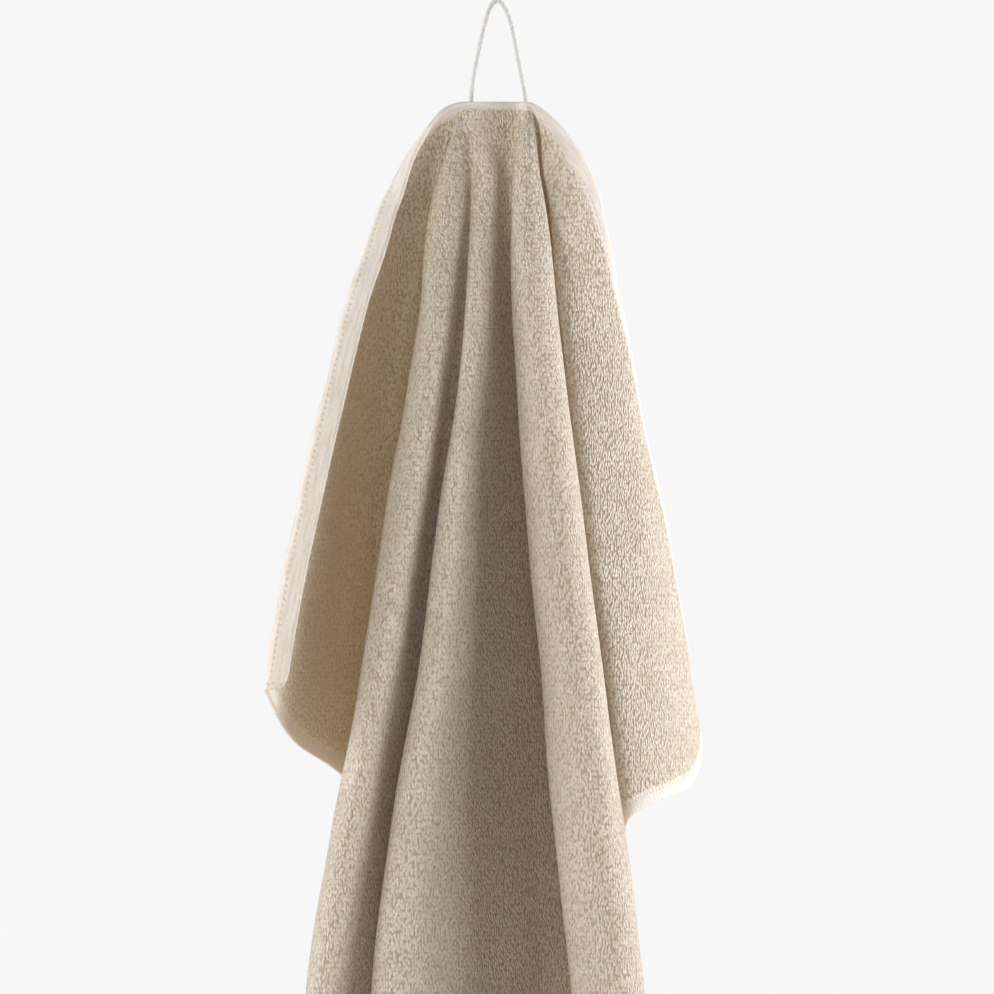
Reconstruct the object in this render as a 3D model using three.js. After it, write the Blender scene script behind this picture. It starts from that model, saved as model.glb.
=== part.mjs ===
// Bath towel hanging from its cord loop. Millimetres, +Z up, front towards -Y.
// The origin is the inside of the loop's top, where a hook would carry it.
import * as THREE from "three";
import { mergeVertices } from "three/addons/utils/BufferGeometryUtils.js";

// ---- the cloth, laid flat ----
const WIDTH = 700; // across, along the top hem
const LENGTH = 1400; // top hem to bottom hem
const THICK = 3.2; // ground weave and the pile on both faces
const GATHERED = 1.8; // where the folds crowd at the loop's ends
const HEM_TOP = -48.4; // height of the top hem between the loop's ends
const LOOP_HALF = 13.75; // half the distance between the loop's sewn ends
// ---- the cord ----
const CORD = 2.4; // diameter
const CORD_SIDES = 8;
const CORD_STEPS = 40;

// How the drape is worked out. Folds fan out from the loop's two ends. A point of the
// flat cloth lies at a distance r from the nearer end, in a direction measured from
// straight down: its turn, from -90 (left half of the top hem) to +90 (right half).
// The strip between the two ends takes STRIP on either side of zero, so that the folds
// below run from -95 to +95. Past FAN the folds stop fanning out and hang side by side.
const STRIP = 5;
const FAN = 360;

// Where each section of the fold table is taken, as a distance down the cloth.
const SECTIONS = [0, 40, 110, 200, 300, 450, 800, 1400, 1700];

// One row a fold, or a side of a fold, in order across the cloth. x is sideways and y is
// depth at each section: x40, y40 is 40 mm down the cloth from the loop's end, and so on.
// dip is the depth at the very top, and lift is how much the low part of the fold is drawn up.
// prettier-ignore
const FOLDS = [
  { name: "left half of top hem",  turn: -95,   dip: 0, lift: 0,  x40: -51,   y40: -5,   x110: -73,   y110: -29,   x200: -91,   y200: -61,   x300: -110,  y300: -92,   x450: -129,  y450: -126,  x800: -129, y800: -126, x1400: -129, y1400: -126 },
  { name: "left flap",             turn: -81.6, dip: 0, lift: 9,  x40: -42.5, y40: 0,    x110: -61,   y110: -9,    x200: -78.5, y200: -24,   x300: -92,   y300: -34,   x450: -100,  y450: -30,   x800: -100, y800: -10,  x1400: -99,  y1400: 0 },
  { name: "left hollow",           turn: -64.8, dip: 0, lift: 20, x40: -31,   y40: 4.5,  x110: -45,   y110: 17,    x200: -56,   y200: 38,    x300: -61,   y300: 58,    x450: -61,   y450: 76,    x800: -64,  y800: 88,   x1400: -72,  y1400: 96 },
  { name: "behind ridge one",      turn: -51.8, dip: 0, lift: 0,  x40: -25,   y40: 3.5,  x110: -33,   y110: 0,     x200: -44,   y200: -1,    x300: -54,   y300: 1,     x450: -67,   y450: 12,    x800: -88,  y800: 38,   x1400: -106, y1400: 56 },
  { name: "ridge one, left",       turn: -39.5, dip: 0, lift: 0,  x40: -26.5, y40: -4,   x110: -35.8, y110: -24,   x200: -50,   y200: -44.5, x300: -66.5, y300: -62,   x450: -91,   y450: -78,   x800: -116, y800: -60,  x1400: -132, y1400: -44 },
  { name: "ridge one, crest",      turn: -36,   dip: 0, lift: 0,  x40: -21.5, y40: -7,   x110: -30,   y110: -31,   x200: -44,   y200: -56,   x300: -61,   y300: -76,   x450: -85,   y450: -91,   x800: -106, y800: -80,  x1400: -119, y1400: -66 },
  { name: "ridge one, right",      turn: -32,   dip: 0, lift: 0,  x40: -16.6, y40: -5,   x110: -23.2, y110: -27.5, x200: -36.6, y200: -51,   x300: -51.8, y300: -68.5, x450: -74.2, y450: -83.5, x800: -91,  y800: -70,  x1400: -105, y1400: -54 },
  { name: "cleft, left",           turn: -26.9, dip: 0, lift: 0,  x40: -13.9, y40: -1,   x110: -17.2, y110: -16.5, x200: -28.4, y200: -33,   x300: -39.6, y300: -48.5, x450: -59.8, y450: -67,   x800: -76,  y800: -50,  x1400: -92,  y1400: -31 },
  { name: "cleft, right",          turn: -25.5, dip: 0, lift: 0,  x40: -12.6, y40: -1,   x110: -14.8, y110: -17,   x200: -24.6, y200: -34,   x300: -35.6, y300: -50,   x450: -55.8, y450: -68.5, x800: -71,  y800: -51,  x1400: -86,  y1400: -31 },
  { name: "ridge two, left",       turn: -20.4, dip: 0, lift: 0,  x40: -11.8, y40: -3,   x110: -14.8, y110: -24.5, x200: -25.1, y200: -44,   x300: -39.6, y300: -60.5, x450: -59.8, y450: -78,   x800: -67,  y800: -58,  x1400: -70,  y1400: -40 },
  { name: "ridge two, crest",      turn: -15.5, dip: 0, lift: 0,  x40: -7.4,  y40: -6,   x110: -11.8, y110: -31,   x200: -21.5, y200: -54.5, x300: -34,   y300: -73.5, x450: -52.5, y450: -91,   x800: -53,  y800: -77,  x1400: -50,  y1400: -61 },
  { name: "valley, left slope",    turn: -7.6,  dip: 0, lift: 0,  x40: -1.5,  y40: -4,   x110: -4,    y110: -22,   x200: -8.6,  y200: -35.5, x300: -14,   y300: -47,   x450: -20,   y450: -64,   x800: -14,  y800: -52,  x1400: -2,   y1400: -34 },
  { name: "valley, bottom",        turn: 3.5,   dip: 7, lift: 0,  x40: 5.6,   y40: 4,    x110: 7.6,   y110: -1.5,  x200: 15,    y200: -2,    x300: 23.5,  y300: -3,    x450: 36,    y450: -8,    x800: 36,   y800: 10,   x1400: 37,   y1400: 24 },
  { name: "valley, right",         turn: 9,     dip: 2, lift: 0,  x40: 9.4,   y40: 1.6,  x110: 12,    y110: -6,    x200: 20.5,  y200: -9,    x300: 30.5,  y300: -12,   x450: 45,    y450: -20,   x800: 50,   y800: -2,   x1400: 54,   y1400: 14 },
  { name: "ridge three, left",     turn: 15,    dip: 0, lift: 0,  x40: 8.4,   y40: -3,   x110: 8.8,   y110: -20,   x200: 14.9,  y200: -35,   x300: 24,    y300: -48,   x450: 38.7,  y450: -64,   x800: 54,   y800: -52,  x1400: 70,   y1400: -40 },
  { name: "ridge three, crest",    turn: 21.4,  dip: 0, lift: 0,  x40: 14,    y40: -7.5, x110: 18.8,  y110: -32,   x200: 28.2,  y200: -54.5, x300: 39,    y300: -73,   x450: 56,    y450: -89,   x800: 75,   y800: -80,  x1400: 94,   y1400: -66 },
  { name: "ridge three, right",    turn: 28.4,  dip: 0, lift: 0,  x40: 19.5,  y40: -5,   x110: 27.5,  y110: -24,   x200: 39.3,  y200: -42,   x300: 51.8,  y300: -58,   x450: 70,    y450: -74,   x800: 94,   y800: -62,  x1400: 117,  y1400: -46 },
  { name: "behind ridge three",    turn: 39,    dip: 0, lift: 0,  x40: 20.5,  y40: 2.5,  x110: 27,    y110: 0,     x200: 35.5,  y200: 0,     x300: 45,    y300: 0,     x450: 60,    y450: 0,     x800: 95,   y800: 16,   x1400: 123,  y1400: 34 },
  { name: "pleat, left",           turn: 48,    dip: 0, lift: 0,  x40: 24,    y40: 9,    x110: 29.5,  y110: 23,    x200: 35.5,  y200: 44,    x300: 42,    y300: 65,    x450: 54,    y450: 76,    x800: 86,   y800: 84,   x1400: 104,  y1400: 96 },
  { name: "pleat, right",          turn: 54,    dip: 0, lift: 0,  x40: 28.5,  y40: 9,    x110: 35,    y110: 25.5,  x200: 43,    y200: 48,    x300: 52,    y300: 69,    x450: 65,    y450: 75,    x800: 72,   y800: 90,   x1400: 84,   y1400: 104 },
  { name: "right flap, inside",    turn: 70,    dip: 0, lift: 12, x40: 24,    y40: -1.5, x110: 31.8,  y110: -7,    x200: 41.8,  y200: -10,   x300: 53,    y300: -17,   x450: 69,    y450: -24,   x800: 69,   y800: -24,  x1400: 69,   y1400: -24 },
  { name: "right flap",            turn: 82,    dip: 0, lift: -5, x40: 35,    y40: -1,   x110: 49,    y110: 0,     x200: 66,    y200: 3.5,   x300: 83.5,  y300: 10,    x450: 104,   y450: 16,    x800: 104,  y800: 16,   x1400: 104,  y1400: 16 },
  { name: "right half of top hem", turn: 95,    dip: 0, lift: 0,  x40: 42,    y40: 2,    x110: 58.5,  y110: 11,    x200: 76.5,  y200: 28,    x300: 94.5,  y300: 45,    x450: 114,   y450: 60,    x800: 114,  y800: 60,   x1400: 114,  y1400: 60 },
];

// The left half of the top hem is turned over towards the front along its length.
// The band is widest from full on, and narrows to nothing at starts, both along from the loop's end.
const TURNED = { width: 13, radius: 3, angle: 100, starts: 5, full: 67 };

// ---- curves ----
const rad = Math.PI / 180;
const clamp = (t, a, b) => Math.min(Math.max(t, a), b);
const smooth = (t, a, b) => { const s = clamp((t - a) / (b - a), 0, 1); return s * s * (3 - 2 * s); };

// A smooth curve through values at the sections, with its first slope given. No overshoot.
function alongFold(values, firstSlope) {
  const n = SECTIONS.length;
  const h = [], d = [], m = new Array(n).fill(0);
  for (let i = 0; i < n - 1; i++) { h[i] = SECTIONS[i + 1] - SECTIONS[i]; d[i] = (values[i + 1] - values[i]) / h[i]; }
  m[0] = firstSlope; m[n - 1] = d[n - 2];
  for (let i = 1; i < n - 1; i++) {
    const mean = (h[i] * d[i - 1] + h[i - 1] * d[i]) / (h[i - 1] + h[i]);
    m[i] = d[i - 1] * d[i] > 0 ? Math.sign(mean) * Math.min(Math.abs(mean), 3 * Math.abs(d[i - 1]), 3 * Math.abs(d[i])) : 0;
  }
  return (r) => {
    let i = 0;
    while (i < n - 2 && r > SECTIONS[i + 1]) i++;
    const t = (r - SECTIONS[i]) / h[i], u = 1 - t;
    return (1 + 2 * t) * u * u * values[i] + t * u * u * h[i] * m[i] + t * t * (3 - 2 * t) * values[i + 1] - t * t * u * h[i] * m[i + 1];
  };
}

// Each fold as a line in space, stepped down the cloth. Its height follows from the
// cloth's own length, which doesn't stretch.
const STEP = 2;
const lines = FOLDS.map((f) => {
  const turn = Math.sign(f.turn) * Math.max(Math.abs(f.turn) - STRIP, 0);
  const last = SECTIONS.slice(1, -1);
  const xs = [LOOP_HALF * clamp(f.turn / STRIP, -1, 1), ...last.map((s) => f["x" + s])];
  const ys = [f.dip, ...last.map((s) => f["y" + s])];
  xs.push(xs.at(-1) + (xs.at(-1) - xs.at(-2)) / 2);
  ys.push(ys.at(-1));
  const X = alongFold(xs, Math.sin(turn * rad)), Y = alongFold(ys, (1.6 * (ys[1] - ys[0])) / SECTIONS[1]);
  const x = [], y = [], z = [];
  const count = SECTIONS.at(-1) / STEP;
  for (let i = 0; i <= count; i++) { x[i] = X(i * STEP); y[i] = Y(i * STEP); }
  const fall = x.map((_, i) => {
    const a = Math.max(i - 1, 0), b = Math.min(i + 1, count), w = (b - a) * STEP;
    const sx = (x[b] - x[a]) / w, sy = (y[b] - y[a]) / w;
    return Math.sqrt(Math.max(1 - sx * sx - sy * sy, 0.02));
  });
  z[0] = HEM_TOP;
  for (let i = 1; i <= count; i++) z[i] = z[i - 1] - ((fall[i] + fall[i - 1]) / 2) * STEP;
  for (let i = 0; i <= count; i++) z[i] += f.lift * smooth(i * STEP, 120, 345);
  return [x, y, z];
});

// Second slopes of a natural cubic curve through one value a fold.
const turns = FOLDS.map((f) => f.turn);
function bends(values) {
  const n = turns.length, c = new Array(n).fill(0), m = new Array(n).fill(0);
  for (let i = 1; i < n - 1; i++) {
    const h0 = turns[i] - turns[i - 1], h1 = turns[i + 1] - turns[i];
    const right = 6 * ((values[i + 1] - values[i]) / h1 - (values[i] - values[i - 1]) / h0);
    const pivot = 2 * (h0 + h1) - h0 * c[i - 1];
    c[i] = h1 / pivot;
    m[i] = (right - h0 * m[i - 1]) / pivot;
  }
  for (let i = n - 2; i > 0; i--) m[i] -= c[i] * m[i + 1];
  return m;
}

// The draped place of the flat point that lies a sideways of the middle and v below the top hem.
function drape(a, v) {
  const side = Math.max(Math.abs(a) - LOOP_HALF, 0);
  const fan = fanAt(v);
  const r = Math.hypot(side, fan) + v - fan;
  const turn = side > 0 ? Math.sign(a) * (Math.atan2(side, fan) / rad + STRIP) : (a / LOOP_HALF) * STRIP;
  let k = 0;
  while (k < turns.length - 2 && turn > turns[k + 1]) k++;
  const h = turns[k + 1] - turns[k], t = clamp((turn - turns[k]) / h, 0, 1), u = 1 - t;
  const i = Math.min(Math.floor(r / STEP), lines[0][0].length - 2), f = r / STEP - i;
  return new THREE.Vector3(...[0, 1, 2].map((axis) => {
    const values = lines.map((l) => l[axis][i] * (1 - f) + l[axis][i + 1] * f);
    const m = bends(values);
    return u * values[k] + t * values[k + 1] + (h * h / 6) * ((u * u * u - u) * m[k] + (t * t * t - t) * m[k + 1]);
  }));
}

function thick(a, v) {
  return GATHERED + (THICK - GATHERED) * smooth(Math.hypot(Math.max(Math.abs(a) - LOOP_HALF, 0), v), 15, 110);
}

function turnedWidth(along) {
  return TURNED.width * Math.sin((Math.PI / 2) * clamp((along - TURNED.starts) / (TURNED.full - TURNED.starts), 0, 1));
}

// The draped place with the hem turned over on the left.
function place(a, v) {
  const width = turnedWidth(-a - LOOP_HALF);
  if (v >= width) return drape(a, v);
  const edge = drape(a, width);
  const out = edge.clone().sub(drape(a, width + 2)).normalize();
  const sideways = drape(a - 2, width).sub(drape(a + 2, width)).normalize();
  const front = new THREE.Vector3().crossVectors(out, sideways).normalize();
  const far = width - v, bent = Math.min(far / TURNED.radius, TURNED.angle * rad), rest = far - bent * TURNED.radius;
  return edge
    .addScaledVector(out, TURNED.radius * Math.sin(bent) + rest * Math.cos(bent))
    .addScaledVector(front, TURNED.radius * (1 - Math.cos(bent)) + rest * Math.sin(bent));
}

// ---- the towel: one closed sheet ----
// Its facets follow the folds: down to SPLIT their columns fan out from the loop's ends as
// the folds do, with the hem's own lines along the top edge, and below it they hang side by side.
const SPLIT = 336;
const FAN_ROWS = 22, LOW_ROWS = 20, STRIP_COLUMNS = 3;
const WIDEST = 3.7; // degrees between columns
const HALF = WIDTH / 2 - LOOP_HALF;
const fanAt = (v) => (v > 0 ? Math.pow(Math.pow(v, -4) + Math.pow(FAN, -4), -0.25) : 0);
const fanBack = (f) => Math.pow(Math.pow(f, -4) - Math.pow(FAN, -4), -0.25);
const CORNER = Math.atan2(HALF, fanAt(SPLIT)) / rad;

// The turns that get a column on one side: each fold row, and evenly between them.
function columnTurns(side) {
  const own = FOLDS.filter((f) => f.turn * side > STRIP).map((f) => f.turn * side - STRIP).filter((q) => q < 84);
  const fixed = [...own, 84, CORNER, 0].sort((p, q) => q - p).filter((q, i, all) => !i || all[i - 1] - q > 1.2 || q === CORNER || q === 0);
  const out = [];
  fixed.forEach((q, i) => {
    if (i) { const gap = fixed[i - 1] - q, n = Math.ceil(gap / WIDEST); for (let k = 1; k < n; k++) out.push(fixed[i - 1] - (gap * k) / n); }
    out.push(q);
  });
  return out;
}

// Points down a column of the fan. share runs from 0 at the loop's end to 1.
function hemLine(part, share) {
  const along = HALF * share;
  return [along, part * turnedWidth(along)];
}
function fanLine(turn, share) {
  const reach = turn >= CORNER - 1e-9 ? HALF / Math.sin(turn * rad) + fanBack(HALF / Math.tan(turn * rad)) - HALF / Math.tan(turn * rad)
    : fanAt(SPLIT) / Math.cos(turn * rad) + SPLIT - fanAt(SPLIT);
  const r = reach * share;
  if (r === 0) return [0, 0];
  const hem = Math.atan2(r, turnedWidth(r) + 1e-9) / rad, hemEnd = Math.atan2(HALF, TURNED.width) / rad;
  const q = (turn > 60 ? 60 + ((turn - 60) * (Math.min(hem, hemEnd) - 60)) / (hemEnd - 60) : turn) * rad;
  let low = 0, high = r;
  for (let i = 0; i < 50; i++) { const v = (low + high) / 2; if (fanAt(v) * (1 / Math.cos(q) - 1) + v > r) high = v; else low = v; }
  const side = Math.min(fanAt(low) * Math.tan(q), HALF);
  return [share === 1 && turn >= CORNER - 1e-9 ? HALF : side, share === 1 && turn < CORNER ? SPLIT : low];
}
function lowLine(turn, v) {
  const s = Math.min((Math.tan(turn * rad) * fanAt(SPLIT)) / HALF, 1), grow = fanAt(v) / fanAt(SPLIT);
  return [(HALF * grow * s) / (1 + (grow - 1) * s * s * s), v];
}

function sheet() {
  const shares = Array.from({ length: FAN_ROWS + 1 }, (_, i) => { const u = i / FAN_ROWS; return 0.4 * u + 0.6 * Math.pow(u, 1.7); });
  const lows = Array.from({ length: LOW_ROWS }, (_, i) => { const u = (i + 1) / LOW_ROWS; return SPLIT + (LENGTH - SPLIT) * (0.7 * u + 0.3 * u * u); });
  const half = (side) => [
    ...[0, 1 / 3, 2 / 3, 1].map((part) => ({ fan: shares.map((t) => hemLine(part, t)), low: null })),
    ...columnTurns(side).map((turn) => ({ fan: shares.map((t) => fanLine(turn, t)), low: turn <= CORNER + 1e-9 ? lows.map((v) => lowLine(turn, v)) : null })),
  ].map((c) => { const flat = ([x, v]) => [side * (x + LOOP_HALF), v]; return { fan: c.fan.map(flat), low: c.low && c.low.map(flat) }; });
  const strip = Array.from({ length: STRIP_COLUMNS - 1 }, (_, i) => {
    const a = LOOP_HALF * ((2 * (i + 1)) / STRIP_COLUMNS - 1);
    return { fan: shares.map((t) => [a, SPLIT * t]), low: lows.map((v) => [a, v]) };
  });
  const columns = [...half(-1), ...strip, ...half(1).reverse()];

  const known = new Map(), front = [], back = [];
  const point = ([a, v]) => {
    const key = a.toFixed(4) + "," + v.toFixed(4);
    if (known.has(key)) return known.get(key);
    const e = 0.7, a0 = Math.max(a - e, -WIDTH / 2), a1 = Math.min(a + e, WIDTH / 2), v0 = Math.max(v - e, 0), v1 = Math.min(v + e, LENGTH);
    const n = place(a1, v).sub(place(a0, v)).cross(place(a, v1).sub(place(a, v0))).normalize(); // towards the back
    const p = place(a, v);
    front.push(p.clone().addScaledVector(n, -thick(a, v) / 2));
    back.push(p.clone().addScaledVector(n, thick(a, v) / 2));
    known.set(key, front.length - 1);
    return front.length - 1;
  };
  const faces = [];
  const face = (p, q, r) => { if (p !== q && q !== r && r !== p) faces.push([p, q, r]); };
  const quad = (p, q, r, s) => { // corners left top, left low, right low, right top, split along the shorter way
    if (front[p].distanceTo(front[r]) <= front[q].distanceTo(front[s])) { face(p, q, r); face(p, r, s); } else { face(p, q, s); face(q, r, s); }
  };
  for (let c = 0; c + 1 < columns.length; c++) {
    const L = columns[c], R = columns[c + 1];
    const run = (l, r) => { for (let i = 0; i + 1 < l.length; i++) quad(point(l[i]), point(l[i + 1]), point(r[i + 1]), point(r[i])); };
    run(L.fan, R.fan);
    if (L.low && R.low) run([L.fan.at(-1), ...L.low], [R.fan.at(-1), ...R.low]);
  }
  const count = front.length, triangles = [], edges = new Map();
  for (const [p, q, r] of faces) {
    triangles.push(p, q, r, p + count, r + count, q + count);
    for (const [m, n] of [[p, q], [q, r], [r, p]]) { if (edges.has(n + "," + m)) edges.delete(n + "," + m); else edges.set(m + "," + n, [m, n]); }
  }
  for (const [m, n] of edges.values()) triangles.push(n, m, m + count, n, m + count, n + count);
  const g = new THREE.BufferGeometry();
  g.setAttribute("position", new THREE.Float32BufferAttribute([...front, ...back].flatMap((p) => [p.x, p.y, p.z]), 3));
  g.setIndex(triangles);
  g.computeVertexNormals();
  return g;
}

// ---- the hang loop: one cord, its two ends lying against the back of the hem ----
// From the left end, sewn behind the hem, up over the top and down to the right end.
// prettier-ignore
const CORD_LINE = [
  { at: "left end, sewn",       x: -13.2, y: 8.2, z: -57 },
  { at: "left, behind the hem", x: -13.1, y: 7.7, z: -52 },
  { at: "left, above the hem",  x: -12.5, y: 4.6, z: -45.8 },
  { at: "left strand, low",     x: -11.7, y: 2.4, z: -38 },
  { at: "left strand, middle",  x: -9.4,  y: 0.7, z: -25.5 },
  { at: "left strand, high",    x: -6.3,  y: 0,   z: -11.9 },
  { at: "left shoulder",        x: -3.2,  y: 0,   z: -2 },
  { at: "top",                  x: 0,     y: 0,   z: CORD / 2 },
  { at: "right shoulder",       x: 3.4,   y: 0,   z: -1.6 },
  { at: "right strand, high",   x: 6.9,   y: 0,   z: -10.4 },
  { at: "right strand, middle", x: 9.9,   y: 0.7, z: -25 },
  { at: "right strand, low",    x: 12.3,  y: 2.8, z: -37 },
  { at: "right, above the hem", x: 13.9,  y: 6.6, z: -45.2 },
  { at: "right, behind the hem",x: 14.4,  y: 8.2, z: -52 },
  { at: "right end, sewn",      x: 14.4,  y: 8.4, z: -57 },
];
function cord() {
  const path = new THREE.CatmullRomCurve3(CORD_LINE.map((p) => new THREE.Vector3(p.x, p.y, p.z)), false, "centripetal");
  const round = new THREE.Shape();
  for (let i = 0; i < CORD_SIDES; i++) {
    const t = ((i + 0.5) / CORD_SIDES) * 2 * Math.PI, x = (CORD / 2) * Math.cos(t), y = (CORD / 2) * Math.sin(t);
    i ? round.lineTo(x, y) : round.moveTo(x, y);
  }
  const g = new THREE.ExtrudeGeometry(round, { steps: CORD_STEPS, bevelEnabled: false, extrudePath: path });
  g.deleteAttribute("normal");
  g.deleteAttribute("uv");
  return mergeVertices(g, 1e-4);
}

const towel = new THREE.Mesh(sheet(), new THREE.MeshStandardMaterial({ color: 0xcdc0a8, roughness: 0.95, metalness: 0, side: THREE.DoubleSide }));
towel.name = "towel";
const loop = new THREE.Mesh(cord(), new THREE.MeshStandardMaterial({ color: 0xdcdad4, roughness: 0.8, metalness: 0 }));
loop.name = "hang_loop";

const part = new THREE.Group();
part.add(towel, loop);
export default part;
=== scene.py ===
"""Bath towel hanging from its cord loop: the looks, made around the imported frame.

Metres in the scene and millimetres in the tables, +Z up, front towards -Y. The origin is the
inside of the loop's top. A place on the cloth is given as it lies flat: a sideways of its
middle and v down from its top hem.
"""

import math

import bpy
import numpy as np
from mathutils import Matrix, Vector


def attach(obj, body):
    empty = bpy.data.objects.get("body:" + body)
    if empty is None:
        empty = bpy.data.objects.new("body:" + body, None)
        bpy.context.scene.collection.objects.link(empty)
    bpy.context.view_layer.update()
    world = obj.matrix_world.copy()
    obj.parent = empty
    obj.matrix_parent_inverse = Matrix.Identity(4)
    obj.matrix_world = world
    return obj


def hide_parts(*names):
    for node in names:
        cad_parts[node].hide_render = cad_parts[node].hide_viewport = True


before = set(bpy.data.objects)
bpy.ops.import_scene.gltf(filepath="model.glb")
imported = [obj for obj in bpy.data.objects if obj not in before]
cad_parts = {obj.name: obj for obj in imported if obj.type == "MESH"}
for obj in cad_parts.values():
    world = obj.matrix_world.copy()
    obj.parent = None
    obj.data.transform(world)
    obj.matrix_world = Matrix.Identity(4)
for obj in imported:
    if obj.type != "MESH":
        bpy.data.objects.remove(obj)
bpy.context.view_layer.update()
scene = bpy.context.scene
MM = 0.001

# ---------------------------------------------------------------- camera, light, floor
VIEW_WIDTH = 0.4871  # what the picture spans at the towel
VIEW_CENTRE = (0.0, 0.0, -0.2421)
DISTANCE = 12.0

camera = bpy.data.objects.new("camera", bpy.data.cameras.new("camera"))
scene.collection.objects.link(camera)
camera.location = (VIEW_CENTRE[0], -DISTANCE, VIEW_CENTRE[2])
camera.rotation_euler = (math.radians(90), 0, 0)
camera.data.sensor_width = 36
camera.data.lens = 36 * DISTANCE / VIEW_WIDTH
camera.data.clip_end = 100
scene.camera = camera
scene.view_settings.view_transform = "Standard"
scene.view_settings.look = "None"


def node(tree, kind, values=None, **settings):
    n = tree.nodes.new("ShaderNode" + kind)
    for k, v in settings.items():
        setattr(n, k, v)
    for k, v in (values or {}).items():
        n.inputs[k].default_value = v
    return n


world = bpy.data.worlds.new("studio")
scene.world = world
world.use_nodes = True
world.node_tree.nodes.clear()
wt = world.node_tree
seen = node(wt, "Background", {"Color": (0.93, 0.93, 0.93, 1), "Strength": 1.0})
fill = node(wt, "Background", {"Color": (1.0, 1.0, 1.0, 1), "Strength": 0.057})
path, pick, out = node(wt, "LightPath"), node(wt, "MixShader"), node(wt, "OutputWorld")
wt.links.new(path.outputs["Is Camera Ray"], pick.inputs[0])
wt.links.new(fill.outputs[0], pick.inputs[1])
wt.links.new(seen.outputs[0], pick.inputs[2])
wt.links.new(pick.outputs[0], out.inputs[0])

# name, place, aimed at, width, height, watts, colour
LAMPS = [
    ("left_front", (-1.7, -1.7, 0.5), (0.0, 0.0, -0.3), 0.8, 0.8, 37, (1.0, 0.995, 0.985)),
    ("left_bank", (-1.7, -0.35, -0.15), (0.0, 0.0, -0.35), 0.9, 1.9, 27, (0.98, 1.0, 1.03)),
    ("right_side", (1.9, 0.1, -0.1), (0.0, 0.0, -0.35), 0.8, 1.6, 42, (0.99, 1.0, 1.03)),
    ("right_bank", (1.7, -0.55, -0.15), (0.0, 0.0, -0.35), 0.9, 1.9, 23, (1.0, 1.0, 1.02)),
    ("front", (0.0, -2.8, -0.2), (0.0, 0.0, -0.3), 0.8, 0.8, 16, (1.0, 1.0, 1.0)),
    ("back_right", (1.6, 1.4, 0.1), (0.0, 0.0, -0.3), 1.0, 1.6, 27, (1.0, 1.0, 1.0)),
    ("back_left", (-1.6, 1.3, -0.1), (0.0, 0.0, -0.35), 1.0, 1.6, 12, (1.0, 0.90, 0.80)),
]
for name, place, aim, wide, tall, watts, colour in LAMPS:
    data = bpy.data.lights.new(name, "AREA")
    data.shape, data.size, data.size_y, data.energy, data.color = "RECTANGLE", wide, tall, watts, colour
    lamp = bpy.data.objects.new(name, data)
    scene.collection.objects.link(lamp)
    lamp.location = place
    lamp.rotation_euler = (Vector(aim) - Vector(place)).to_track_quat("-Z", "Y").to_euler()
    lamp.visible_camera = False

# ---------------------------------------------------------------- the cloth's folds
WIDTH, LENGTH, HEM_TOP, LOOP_HALF = 700.0, 1400.0, -48.4, 13.75
STRIP, FAN, STEP = 5.0, 360.0, 2.0
SECTIONS = np.array([0, 40, 110, 200, 300, 450, 800, 1400, 1700.0])
COLUMNS = "turn dip lift x40 y40 x110 y110 x200 y200 x300 y300 x450 y450 x800 y800 x1400 y1400".split()
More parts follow.
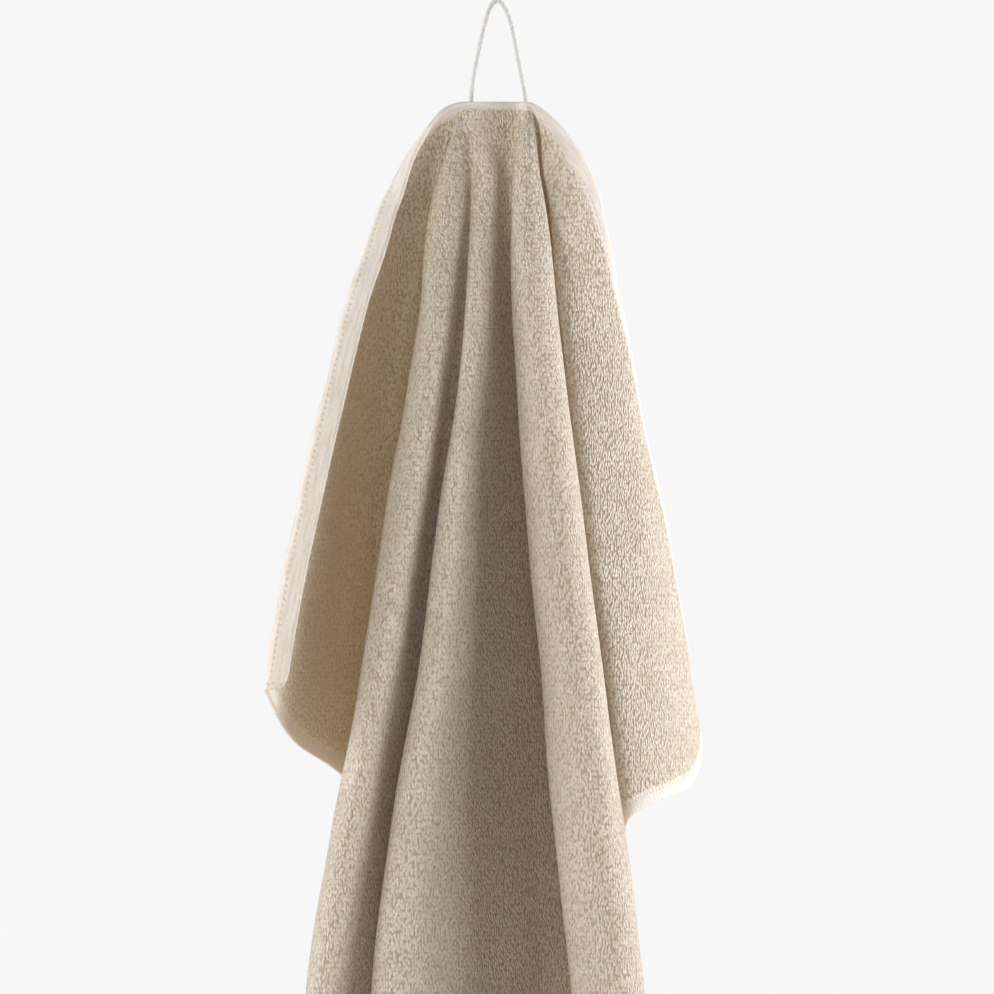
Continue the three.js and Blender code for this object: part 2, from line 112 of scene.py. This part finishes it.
# One row a fold, or a side of a fold, as in the solid: its turn about the loop's end, how deep
# it starts, how much its low part is drawn up, then sideways and depth at each distance down.
FOLDS = [
    ("left half of top hem",   -95,   0, 0,  -51,   -5,   -73,   -29,   -91,   -61,   -110,  -92,   -129,  -126,  -129, -126, -129, -126),
    ("left flap",              -81.6, 0, 9,  -42.5, 0,    -61,   -9,    -78.5, -24,   -92,   -34,   -100,  -30,   -100, -10,  -99,  0),
    ("left hollow",            -64.8, 0, 20, -31,   4.5,  -45,   17,    -56,   38,    -61,   58,    -61,   76,    -64,  88,   -72,  96),
    ("behind ridge one",       -51.8, 0, 0,  -25,   3.5,  -33,   0,     -44,   -1,    -54,   1,     -67,   12,    -88,  38,   -106, 56),
    ("ridge one, left",        -39.5, 0, 0,  -26.5, -4,   -35.8, -24,   -50,   -44.5, -66.5, -62,   -91,   -78,   -116, -60,  -132, -44),
    ("ridge one, crest",       -36,   0, 0,  -21.5, -7,   -30,   -31,   -44,   -56,   -61,   -76,   -85,   -91,   -106, -80,  -119, -66),
    ("ridge one, right",       -32,   0, 0,  -16.6, -5,   -23.2, -27.5, -36.6, -51,   -51.8, -68.5, -74.2, -83.5, -91,  -70,  -105, -54),
    ("cleft, left",            -26.9, 0, 0,  -13.9, -1,   -17.2, -16.5, -28.4, -33,   -39.6, -48.5, -59.8, -67,   -76,  -50,  -92,  -31),
    ("cleft, right",           -25.5, 0, 0,  -12.6, -1,   -14.8, -17,   -24.6, -34,   -35.6, -50,   -55.8, -68.5, -71,  -51,  -86,  -31),
    ("ridge two, left",        -20.4, 0, 0,  -11.8, -3,   -14.8, -24.5, -25.1, -44,   -39.6, -60.5, -59.8, -78,   -67,  -58,  -70,  -40),
    ("ridge two, crest",       -15.5, 0, 0,  -7.4,  -6,   -11.8, -31,   -21.5, -54.5, -34,   -73.5, -52.5, -91,   -53,  -77,  -50,  -61),
    ("valley, left slope",     -7.6,  0, 0,  -1.5,  -4,   -4,    -22,   -8.6,  -35.5, -14,   -47,   -20,   -64,   -14,  -52,  -2,   -34),
    ("valley, bottom",         3.5,   7, 0,  5.6,   4,    7.6,   -1.5,  15,    -2,    23.5,  -3,    36,    -8,    36,   10,   37,   24),
    ("valley, right",          9,     2, 0,  9.4,   1.6,  12,    -6,    20.5,  -9,    30.5,  -12,   45,    -20,   50,   -2,   54,   14),
    ("ridge three, left",      15,    0, 0,  8.4,   -3,   8.8,   -20,   14.9,  -35,   24,    -48,   38.7,  -64,   54,   -52,  70,   -40),
    ("ridge three, crest",     21.4,  0, 0,  14,    -7.5, 18.8,  -32,   28.2,  -54.5, 39,    -73,   56,    -89,   75,   -80,  94,   -66),
    ("ridge three, right",     28.4,  0, 0,  19.5,  -5,   27.5,  -24,   39.3,  -42,   51.8,  -58,   70,    -74,   94,   -62,  117,  -46),
    ("behind ridge three",     39,    0, 0,  20.5,  2.5,  27,    0,     35.5,  0,     45,    0,     60,    0,     95,   16,   123,  34),
    ("pleat, left",            48,    0, 0,  24,    9,    29.5,  23,    35.5,  44,    42,    65,    54,    76,    86,   84,   104,  96),
    ("pleat, right",           54,    0, 0,  28.5,  9,    35,    25.5,  43,    48,    52,    69,    65,    75,    72,   90,   84,   104),
    ("right flap, inside",     70,    0, 12, 24,    -1.5, 31.8,  -7,    41.8,  -10,   53,    -17,   69,    -24,   69,   -24,  69,   -24),
    ("right flap",             82,    0, -5, 35,    -1,   49,    0,     66,    3.5,   83.5,  10,    104,   16,    104,  16,   104,  16),
    ("right half of top hem",  95,    0, 0,  42,    2,    58.5,  11,    76.5,  28,    94.5,  45,    114,   60,    114,  60,   114,  60),
]
TURNED = {"width": 13.0, "radius": 3.0, "angle": 100.0, "starts": 5.0, "full": 67.0}


def smooth(t, a, b):
    s = np.clip((t - a) / (b - a), 0, 1)
    return s * s * (3 - 2 * s)


def along_fold(values, first, r):
    """A smooth curve through values at the sections, with its first slope given. No overshoot."""
    values = np.array(values, float)
    h = np.diff(SECTIONS)
    d = np.diff(values) / h
    m = np.zeros(len(values))
    m[0], m[-1] = first, d[-1]
    for i in range(1, len(values) - 1):
        if d[i - 1] * d[i] > 0:
            mean = (h[i] * d[i - 1] + h[i - 1] * d[i]) / (h[i - 1] + h[i])
            m[i] = math.copysign(min(abs(mean), 3 * abs(d[i - 1]), 3 * abs(d[i])), mean)
    i = np.clip(np.searchsorted(SECTIONS, r, side="right") - 1, 0, len(h) - 1)
    t = (r - SECTIONS[i]) / h[i]
    u = 1 - t
    return (
        (1 + 2 * t) * u * u * values[i] + t * u * u * h[i] * m[i]
        + t * t * (3 - 2 * t) * values[i + 1] - t * t * u * h[i] * m[i + 1]
    )


def fold_lines():
    """Each fold as a line in space, stepped down the cloth: an array of fold, axis, step."""
    r = np.arange(0, SECTIONS[-1] + STEP / 2, STEP)
    lines = []
    for row in FOLDS:
        f = dict(zip(COLUMNS, row[1:]))
        turn = math.copysign(max(abs(f["turn"]) - STRIP, 0), f["turn"])
        xs = [LOOP_HALF * min(max(f["turn"] / STRIP, -1), 1)] + [f["x%d" % s] for s in SECTIONS[1:-1]]
        ys = [f["dip"]] + [f["y%d" % s] for s in SECTIONS[1:-1]]
        xs.append(xs[-1] + (xs[-1] - xs[-2]) / 2)
        ys.append(ys[-1])
        x, y = along_fold(xs, math.sin(math.radians(turn)), r), along_fold(ys, 1.6 * (ys[1] - ys[0]) / SECTIONS[1], r)
        a = np.maximum(np.arange(len(r)) - 1, 0)
        b = np.minimum(np.arange(len(r)) + 1, len(r) - 1)
        w = (b - a) * STEP
        fall = np.sqrt(np.maximum(1 - ((x[b] - x[a]) / w) ** 2 - ((y[b] - y[a]) / w) ** 2, 0.02))
        z = HEM_TOP - np.concatenate([[0], np.cumsum((fall[1:] + fall[:-1]) / 2 * STEP)])
        z += f["lift"] * smooth(r, 120, 345)
        lines.append([x, y, z])
    return np.array(lines)


TURNS = np.array([row[1] for row in FOLDS], float)


def bend_matrix():
    """Turns the folds' values into the second slopes of a natural cubic curve through them."""
    n, h = len(TURNS), np.diff(TURNS)
    a, b = np.eye(n), np.zeros((n, n))
    for i in range(1, n - 1):
        a[i, i - 1 : i + 2] = h[i - 1], 2 * (h[i - 1] + h[i]), h[i]
        b[i, i - 1 : i + 2] = 6 / h[i - 1], -6 / h[i - 1] - 6 / h[i], 6 / h[i]
    return np.linalg.solve(a, b)


LINES = fold_lines()
BENDS = np.einsum("ij,jkl->ikl", bend_matrix(), LINES)


def fan_at(v):
    return (np.maximum(v, 1e-9) ** -4.0 + FAN**-4.0) ** -0.25


def turn_at(a, v):
    """The turn and the distance from the loop's end of a place on the cloth."""
    side, fan = np.maximum(np.abs(a) - LOOP_HALF, 0), fan_at(v)
    r = np.hypot(side, fan) + v - fan
    turn = np.where(side > 0, np.sign(a) * (np.degrees(np.arctan2(side, fan)) + STRIP), a / LOOP_HALF * STRIP)
    return turn, r


def drape(a, v):
    turn, r = turn_at(a, v)
    k = np.clip(np.searchsorted(TURNS, turn, side="right") - 1, 0, len(TURNS) - 2)
    h = TURNS[k + 1] - TURNS[k]
    t = np.clip((turn - TURNS[k]) / h, 0, 1)
    u = 1 - t
    i = np.minimum((r / STEP).astype(int), LINES.shape[2] - 2)
    f = r / STEP - i
    out = []
    for axis in range(3):
        p0, p1, m0, m1 = (
            g[j, axis, i] * (1 - f) + g[j, axis, i + 1] * f
            for g, j in ((LINES, k), (LINES, k + 1), (BENDS, k), (BENDS, k + 1))
        )
        out.append(u * p0 + t * p1 + h * h / 6 * ((u**3 - u) * m0 + (t**3 - t) * m1))
    return np.stack(out, -1)


def unit(p):
    return p / np.maximum(np.linalg.norm(p, axis=-1, keepdims=True), 1e-12)


def turned_width(along):
    share = np.clip((along - TURNED["starts"]) / (TURNED["full"] - TURNED["starts"]), 0, 1)
    return TURNED["width"] * np.sin(math.pi / 2 * share)


def place(a, v):
    """The draped place in millimetres, with the hem turned over on the left."""
    a, v = np.asarray(a, float), np.asarray(v, float)
    p = drape(a, v)
    width = turned_width(-a - LOOP_HALF)
    on = v < width
    if on.any():
        aa, vv, w = a[on], v[on], width[on]
        edge = drape(aa, w)
        outward = unit(edge - drape(aa, w + 2))
        sideways = unit(drape(aa - 2, w) - drape(aa + 2, w))
        front = unit(np.cross(outward, sideways))
        far = w - vv
        bent = np.minimum(far / TURNED["radius"], math.radians(TURNED["angle"]))
        rest = far - bent * TURNED["radius"]
        p[on] = (
            edge
            + outward * (TURNED["radius"] * np.sin(bent) + rest * np.cos(bent))[:, None]
            + front * (TURNED["radius"] * (1 - np.cos(bent)) + rest * np.sin(bent))[:, None]
        )
    return p


def normal(a, v, e=0.6):
    """The cloth's own normal, towards its front."""
    a0, a1 = np.maximum(a - e, -WIDTH / 2), np.minimum(a + e, WIDTH / 2)
    v0, v1 = np.maximum(v - e, 0), np.minimum(v + e, LENGTH)
    return unit(np.cross(place(a, v1) - place(a, v0), place(a1, v) - place(a0, v)))


# ---------------------------------------------------------------- small unevenness
# Soft troughs (height below 0) and ridges along the folds. turn0, r0 to turn1, r1 is the line,
# wide its half-width and high its height towards the front, in millimetres.
CREASES = [
    # where                           turn0  r0   turn1  r1   wide  high
    ("ridge three, left shoulder",     17.0,  150, 16.5,  300, 5.0,  -0.9),
    ("ridge three, low swell",         24.0,  330, 22.0,  470, 9.0,   1.2),
    ("ridge two, pinch",              -17.0,  210, -14.0, 330, 6.0,  -0.9),
    ("ridge one, pinch",              -35.0,  250, -37.0, 360, 6.0,  -1.0),
    ("ridge one, low swell",          -36.0,  400, -34.0, 560, 10.0,  1.3),
    ("right flap, soft dent",          78.0,  190, 66.0,  330, 16.0, -2.2),
    ("right flap, swell",              86.0,  120, 80.0,  300, 14.0,  1.4),
    ("left flap, soft dent",          -76.0,  160, -72.0, 330, 14.0, -1.6),
    ("valley, faint ridge",            -1.0,  260, -3.0,  520, 9.0,   1.0),
]


def uneven(a, v):
    """How far the cloth stands off its drape, towards the front."""
    turn, r = turn_at(a, v)
    out = np.zeros_like(turn)
    reach = np.minimum(r, FAN)
    for _, t0, r0, t1, r1, wide, high in CREASES:
        s = np.clip((r - r0) / (r1 - r0), 0, 1)
        off = np.radians(turn - (t0 + (t1 - t0) * s)) * reach
        past = np.maximum(np.maximum(r0 - r, r - r1), 0) / 45
        out += high * np.exp(-((off / wide) ** 2) / 2 - past**2)
    # slow, seeded unevenness all over, less at the very top
    rng = np.random.default_rng(11)
    for size, high in ((95, 0.55), (60, 0.4), (34, 0.22)):
        for _ in range(5):
            q = rng.uniform(0, math.pi)
            ph = rng.uniform(0, 2 * math.pi)
            stretch = 0.45  # longer down the cloth than across
            out += high / 2 * np.sin(2 * math.pi / size * (a * math.cos(q) + v * stretch * math.sin(q)) + ph)
    return out * smooth(r, 5, 90)


# ---------------------------------------------------------------- the sheet
TOP_HEM, SIDE_HEM, BOTTOM_HEM = 9.5, 7.0, 14.0
PILE_HALF, HEM_HALF, GATHERED = 1.6, 1.05, 0.9
CORNER = 7.0  # how far each corner's outline is rounded


def hem_share(a, v):
    """1 on the pile and 0 on the flat hems."""
    edge = np.minimum(np.minimum((WIDTH / 2 - np.abs(a)) / SIDE_HEM, v / TOP_HEM), (LENGTH - v) / BOTTOM_HEM)
    return smooth(edge, 0.92, 1.12)


def half_thick(a, v):
    near = smooth(np.hypot(np.maximum(np.abs(a) - LOOP_HALF, 0), v), 15, 110)
    return GATHERED + (HEM_HALF + (PILE_HALF - HEM_HALF) * hem_share(a, v) - GATHERED) * near


def spread(stops):
    """Coordinates from a short table of (from, to, spacing at start, spacing at end)."""
    out = [stops[0][0]]
    for lo, hi, s0, s1 in stops:
        n = max(int(round((hi - lo) / ((s0 + s1) / 2))), 1)
        t = np.linspace(0, 1, n + 1)[1:]
        k = (s1 - s0) / (s1 + s0)
        out += list(lo + (hi - lo) * (t * (1 - k) + k * t * t))
    return np.array(out)


HALF_COLUMNS = spread([(0, 60, 2.8, 3.2), (60, 260, 3.4, 3.9), (260, 342, 5.4, 6.4), (342, 350, 2.0, 2.0)])
ACROSS = np.concatenate([-HALF_COLUMNS[:0:-1], HALF_COLUMNS])
DOWN = spread([(0, 15, 1.3, 1.5), (15, 110, 2.2, 3.4), (110, 520, 4.0, 4.6), (520, 1382, 6.6, 8.6), (1382, 1400, 3.0, 3.0)])


def rounded(a, v):
    """Flat places with the four corners drawn in to a small radius."""
    x, y = WIDTH / 2 - np.abs(a), np.minimum(v, LENGTH - v)
    near = np.clip(1 - x / CORNER, 0, 1) * np.clip(1 - y / CORNER, 0, 1)
    pull = near * CORNER * (1 - math.sqrt(0.5))
    return a - np.sign(a) * pull, v + np.where(v < LENGTH / 2, pull, -pull)


def cloth_mesh():
    A, V = np.meshgrid(ACROSS, DOWN)
    a, v = rounded(A.ravel(), V.ravel())
    n = normal(a, v)
    mid = place(a, v) + n * uneven(a, v)[:, None]
    off = n * half_thick(a, v)[:, None]
    points = np.concatenate([mid + off, mid - off]) * MM
    nc, nr = len(ACROSS), len(DOWN)
    i = (np.arange(nr - 1)[:, None] * nc + np.arange(nc - 1)[None, :]).ravel()
    front = np.stack([i, i + nc, i + nc + 1, i + 1], 1)
    back = front[:, ::-1] + nr * nc
    rim = np.concatenate([
        np.arange(nc - 1),  # top, left to right
        nc - 1 + np.arange(nr - 1) * nc,  # right, down
        (nr * nc - 1) - np.arange(nc - 1),  # bottom, right to left
        (nr - 1) * nc - np.arange(nr - 1) * nc,  # left, up
    ])
    nxt = np.roll(rim, -1)
    sides = np.stack([rim, nxt, nxt + nr * nc, rim + nr * nc], 1)
    faces = np.concatenate([front, back, sides])
    me = bpy.data.meshes.new("towel_cloth")
    me.from_pydata(points.tolist(), [], faces.tolist())
    uv = me.uv_layers.new(name="cloth")
    flat = np.stack([np.concatenate([a, a]), np.concatenate([v, v])], 1) * MM
    index = np.empty(len(me.loops), int)
    me.loops.foreach_get("vertex_index", index)
    uv.data.foreach_set("uv", flat[index].ravel())
    back_face = me.attributes.new("back_face", "FLOAT", "POINT")
    back_face.data.foreach_set("value", np.repeat([0.0, 1.0], nc * nr))
    me.polygons.foreach_set("use_smooth", np.ones(len(me.polygons), bool))
    me.update()
    return me


towel = bpy.data.objects.new("towel_cloth", cloth_mesh())
scene.collection.objects.link(towel)


# ---------------------------------------------------------------- materials
class Tree:
    """Short forms for one material's nodes."""

    def __init__(self, name):
        self.mat = bpy.data.materials.new(name)
        self.mat.use_nodes = True
        self.t = self.mat.node_tree
        self.t.nodes.clear()

    def put(self, kind, values=None, links=None, **settings):
        n = node(self.t, kind, values, **settings)
        for k, s in (links or {}).items():
            self.t.links.new(s, n.inputs[k])
        return n

    def math(self, op, *args):
        n = node(self.t, "Math", operation=op)
        for i, x in enumerate(args):
            if isinstance(x, (int, float)):
                n.inputs[i].default_value = x
            else:
                self.t.links.new(x, n.inputs[i])
        return n.outputs[0]

    def step(self, x, lo, hi, a=0.0, b=1.0, kind="SMOOTHSTEP"):
        n = self.put("MapRange", {"From Min": lo, "From Max": hi, "To Min": a, "To Max": b}, {"Value": x}, interpolation_type=kind)
        return n.outputs[0]

    def mix(self, share, a, b):
        n = node(self.t, "Mix", data_type="RGBA")
        for k, x in ((0, share), (6, a), (7, b)):
            if isinstance(x, (float, int, tuple)):
                n.inputs[k].default_value = x
            else:
                self.t.links.new(x, n.inputs[k])
        return n.outputs[2]


LOOPS = {"across": 1.15, "down": 2.1}  # mm, one loop of pile
# The pit colour is painted shade, laid in the pits between loops and in the sewn groove of the hems; the loop colours
# are the pile's own tones.
PIT_SHADE, LOOP_DARK, LOOP_LIGHT = (0.40, 0.345, 0.27, 1), (0.71, 0.65, 0.535, 1), (0.88, 0.83, 0.73, 1)
HEM_COLOUR, HEM_SHADE = (0.77, 0.745, 0.71, 1), (0.62, 0.595, 0.555, 1)


def terry():
    m = Tree("terry")
    uv = m.put("UVMap", uv_map="cloth").outputs[0]
    flat = m.put("SeparateXYZ", links={0: uv})
    u, v = flat.outputs[0], flat.outputs[1]
    # where the pile ends at the hems, in metres from each edge; behind, the turned-in strip is wider at the top and narrower elsewhere
    behind = m.put("Attribute", attribute_name="back_face").outputs["Fac"]
    from_side = m.math("SUBTRACT", WIDTH / 2 * MM, m.math("ABSOLUTE", u))
    from_foot = m.math("SUBTRACT", LENGTH * MM, v)
    ragged = m.math("MULTIPLY", m.put("TexNoise", {"Scale": 420.0, "Detail": 1.0}, {"Vector": uv}).outputs["Fac"], 2.4 * MM)
    piled, hems = None, []
    for far, along, wide in ((v, u, TOP_HEM), (from_side, v, SIDE_HEM), (from_foot, u, BOTTOM_HEM)):
        change = 0.45 if far is v else -0.34
        inner = m.math("ADD", wide * MM, m.math("MULTIPLY", behind, change * wide * MM))
        if far is v:
            inner = m.math("MULTIPLY", inner, m.step(m.math("ABSOLUTE", u), 0.012, 0.075, 0.42, 1.0))
        past = m.math("SUBTRACT", m.math("ADD", far, ragged), inner)
        one = m.step(past, 0.2 * MM, 2.2 * MM)
        piled = one if piled is None else m.math("MULTIPLY", piled, one)
        hems.append((far, along, wide * MM if far is v else inner))
    # loops: upright grains, each its own tone, with painted shade in the pits between some of them, where the bump
    # dips
    at = m.put("TexCoord").outputs["Object"]
    grid = m.put("Mapping", {"Scale": (1000 / LOOPS["across"], 1000 / LOOPS["across"], 1000 / LOOPS["down"])}, {"Vector": at})
    cells = m.put("TexVoronoi", {"Scale": 1.0, "Randomness": 0.8}, {"Vector": grid.outputs[0]}, voronoi_dimensions="3D", feature="F1")
    dome = m.step(cells.outputs["Distance"], 0.10, 0.85, 1.0, 0.0)
    own = m.put("SeparateXYZ", links={0: cells.outputs["Color"]}).outputs[0]
    fibre = m.put("TexNoise", {"Scale": 2600.0, "Detail": 2.0}, {"Vector": at}).outputs["Fac"]
    patch = m.put("TexNoise", {"Scale": 48.0, "Detail": 3.0}, {"Vector": at}).outputs["Fac"]
    shade = m.math("MULTIPLY_ADD", own, 0.55, m.math("MULTIPLY", patch, 0.6))
    loop = m.mix(m.step(shade, 0.25, 0.95), LOOP_DARK, LOOP_LIGHT)
    # painted shade: the pit colour darkens each loop towards its cell's edge, where the bump dips
    pile = m.mix(m.step(cells.outputs["Distance"], 0.46, 0.76), loop, PIT_SHADE)
    # hems: fine flat weave, with a sewn line along the inner side; the groove between its stitches is darkened with
    # painted shade
    rib = m.put("Mapping", {"Scale": (1900.0, 500.0, 1.0)}, {"Vector": uv})
    ribs = m.put("TexNoise", {"Scale": 1.0, "Detail": 1.0}, {"Vector": rib.outputs[0]}).outputs["Fac"]
    sewn, gaps = None, []
    for far, along, inner in hems:
        line = m.step(m.math("ABSOLUTE", m.math("SUBTRACT", m.math("SUBTRACT", inner, far), 1.5 * MM)), 0.35 * MM, 0.75 * MM, 1.0, 0.0)
        dash = m.step(m.math("SINE", m.math("MULTIPLY", along, 2 * math.pi / 0.0034)), -0.7, 0.1)
        one = m.math("MULTIPLY", line, dash)
        gaps.append(line)
        sewn = one if sewn is None else m.math("MAXIMUM", sewn, one)
    groove = m.math("MAXIMUM", m.math("MAXIMUM", gaps[0], gaps[1]), gaps[2])
    long = m.put("Mapping", {"Scale": (60.0, 620.0, 1.0)}, {"Vector": uv})
    streaks = m.put("TexNoise", {"Scale": 1.0, "Detail": 2.0}, {"Vector": long.outputs[0]}).outputs["Fac"]
    hem = m.mix(m.step(m.math("MULTIPLY_ADD", ribs, 0.4, m.math("MULTIPLY", streaks, 0.6)), 0.36, 0.6), HEM_SHADE, HEM_COLOUR)
    # painted shade: the sewn groove goes towards the pit colour between the stitch dashes, which stay light
    hem = m.mix(m.math("MULTIPLY", groove, m.math("SUBTRACT", 0.34, m.math("MULTIPLY", sewn, 0.34))), hem, PIT_SHADE)
    colour = m.mix(piled, hem, pile)
    # relief in millimetres
    high = m.math("MULTIPLY", piled, m.math("MULTIPLY_ADD", fibre, 0.16, m.math("MULTIPLY", dome, 0.95)))
    flat_high = m.math("MULTIPLY_ADD", m.math("ADD", ribs, m.math("MULTIPLY", streaks, 5.0)), 0.06, m.math("MULTIPLY", m.math("SUBTRACT", sewn, groove), 0.25))
    relief = m.math("MULTIPLY_ADD", m.math("SUBTRACT", 1.0, piled), flat_high, high)
    bump = m.put("Bump", {"Strength": 1.0, "Distance": 0.001}, {"Height": relief})
    cloth = m.put("BsdfPrincipled", {"Roughness": 0.93, "Specular IOR Level": 0.12, "Sheen Weight": 0.22, "Sheen Roughness": 0.55},
                  {"Base Color": colour, "Normal": bump.outputs[0]})
    through = m.put("BsdfTranslucent", {"Color": (0.96, 0.78, 0.545, 1)})
    both = m.put("MixShader", {0: 0.32}, {1: cloth.outputs[0], 2: through.outputs[0]})
    m.put("OutputMaterial", links={0: both.outputs[0]})
    return m.mat


towel.data.materials.append(terry())
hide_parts("towel")
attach(towel, "root")

# ---------------------------------------------------------------- the loop's cord
# The solid's own route in millimetres, from the left end over the top to the right end.
CORD, LAY = 2.4, 9.0  # thickness, and the length of one full twist
CORD_LINE = [
    # where                 x      y    z
    ("left end, sewn",      -13.2, 8.2, -57),
    ("behind the hem",      -13.1, 7.7, -52),
    ("above the hem",       -12.5, 4.6, -45.8),
    ("left strand, low",    -11.7, 2.4, -38),
    ("left strand, middle", -9.4,  0.7, -25.5),
    ("left strand, high",   -6.3,  0,   -11.9),
    ("left shoulder",       -3.2,  0,   -2),
    ("top",                 0,     0,   CORD / 2),
    ("right shoulder",      3.4,   0,   -1.6),
    ("right strand, high",  6.9,   0,   -10.4),
    ("right strand, middle", 9.9,  0.7, -25),
    ("right strand, low",   12.3,  2.8, -37),
    ("above the hem",       13.9,  6.6, -45.2),
    ("behind the hem",      14.4,  8.2, -52),
    ("right end, sewn",     14.4,  8.4, -57),
]


def through_points(p, steps):
    """A centripetal curve through the points, as the solid's cord follows."""
    p = np.concatenate([[2 * p[0] - p[1]], p, [2 * p[-1] - p[-2]]])
    out = []
    for i in range(1, len(p) - 2):
        d0, d1, d2 = (np.linalg.norm(p[i + k] - p[i + k - 1]) ** 0.5 for k in (0, 1, 2))
        a = ((p[i] - p[i - 1]) / d0 - (p[i + 1] - p[i - 1]) / (d0 + d1) + (p[i + 1] - p[i]) / d1) * d1
        b = ((p[i + 1] - p[i]) / d1 - (p[i + 2] - p[i]) / (d1 + d2) + (p[i + 2] - p[i + 1]) / d2) * d1
        t = np.linspace(0, 1, steps, endpoint=False)[:, None]
        out.append((2 * t**3 - 3 * t**2 + 1) * p[i] + (t**3 - 2 * t**2 + t) * a + (3 * t**2 - 2 * t**3) * p[i + 1] + (t**3 - t**2) * b)
    return np.concatenate(out + [p[-2:-1]])


def tube(path, radius, sides, closed_ends=True):
    """Points and faces of a swept round. radius(share of a turn, distance) in millimetres."""
    along = np.gradient(path, axis=0)
    along /= np.linalg.norm(along, axis=1)[:, None]
    up = np.array([0.0, 1.0, 0.0]) - along * along[:, 1:2]
    up /= np.linalg.norm(up, axis=1)[:, None]
    side = np.cross(along, up)
    dist = np.concatenate([[0], np.cumsum(np.linalg.norm(np.diff(path, axis=0), axis=1))])
    turn = np.arange(sides) / sides
    r = radius(turn[None, :], dist[:, None])
    ang = 2 * math.pi * turn
    pts = path[:, None, :] + r[..., None] * (np.cos(ang)[None, :, None] * up[:, None, :] + np.sin(ang)[None, :, None] * side[:, None, :])
    n = len(path)
    i = (np.arange(n - 1)[:, None] * sides + np.arange(sides)[None, :]).ravel()
    j = (np.arange(n - 1)[:, None] * sides + (np.arange(sides)[None, :] + 1) % sides).ravel()
    faces = np.stack([i, i + sides, j + sides, j], 1).tolist()
    pts = pts.reshape(-1, 3)
    if closed_ends:
        pts = np.concatenate([pts, path[:1], path[-1:]])
        for k in range(sides):
            q = (k + 1) % sides
            faces.append((n * sides, k, q))
            faces.append((n * sides + 1, (n - 1) * sides + q, (n - 1) * sides + k))
    return pts, faces


def mesh_object(name, parts, material):
    """One object from several lists of points in millimetres and faces."""
    points, faces, base = [], [], 0
    for pts, fs in parts:
        points += (np.asarray(pts) * MM).tolist()
        faces += [tuple(i + base for i in f) for f in fs]
        base = len(points)
    me = bpy.data.meshes.new(name)
    me.from_pydata(points, [], faces)
    me.polygons.foreach_set("use_smooth", np.ones(len(me.polygons), bool))
    me.materials.append(material)
    me.update()
    ob = bpy.data.objects.new(name, me)
    scene.collection.objects.link(ob)
    return ob


def cotton():
    m = Tree("cotton_cord")
    at = m.put("TexCoord").outputs["Object"]
    fibre = m.put("TexNoise", {"Scale": 2400.0, "Detail": 2.0}, {"Vector": at}).outputs["Fac"]
    colour = m.mix(m.step(fibre, 0.3, 0.7), (0.40, 0.385, 0.36, 1), (0.62, 0.605, 0.575, 1))
    bump = m.put("Bump", {"Strength": 0.6, "Distance": 0.0002}, {"Height": fibre})
    p = m.put("BsdfPrincipled", {"Roughness": 0.85, "Specular IOR Level": 0.2, "Sheen Weight": 0.2}, {"Base Color": colour, "Normal": bump.outputs[0]})
    m.put("OutputMaterial", links={0: p.outputs[0]})
    return m.mat


COTTON = cotton()
route = through_points(np.array([row[1:] for row in CORD_LINE], float), 18)


def plied(turn, dist):
    """Three strands, laid round each other."""
    return CORD / 2 * (0.93 + 0.07 * np.cos(6 * math.pi * (turn - dist / LAY)))


cord = mesh_object("loop_cord", [tube(route, plied, 24)], COTTON)
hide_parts("hang_loop")
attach(cord, "root")

# Sewing thread over each end, on the back of the hem.
THREAD = 0.42
stitches = []
for _, x, y, z in (CORD_LINE[0], CORD_LINE[-1]):
    for k in range(4):
        t = np.radians(np.linspace(-112, 112, 15))
        reach = CORD / 2 + 0.25
        lean = 0.5 * math.sin(2.1 * k + x)
        arc = np.stack([x + reach * np.sin(t), y - 0.1 + reach * np.cos(t), z + 0.9 + 1.5 * k + lean * np.sin(t)], 1)
        stitches.append(tube(arc, lambda turn, dist: np.full(np.broadcast(turn, dist).shape, THREAD / 2), 8))
sewing = mesh_object("loop_stitches", stitches, COTTON)
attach(sewing, "root")

# ---------------------------------------------------------------- floor
FLOOR = -1.66
side = 6.0
me = bpy.data.meshes.new("floor")
me.from_pydata([(-side, -side, FLOOR), (side, -side, FLOOR), (side, side, FLOOR), (-side, side, FLOOR)], [], [(0, 1, 2, 3)])
floor = bpy.data.objects.new("floor", me)
scene.collection.objects.link(floor)
fm = bpy.data.materials.new("floor")
fm.use_nodes = True
fm.node_tree.nodes["Principled BSDF"].inputs["Base Color"].default_value = (0.86, 0.86, 0.855, 1)
fm.node_tree.nodes["Principled BSDF"].inputs["Roughness"].default_value = 0.9
me.materials.append(fm)
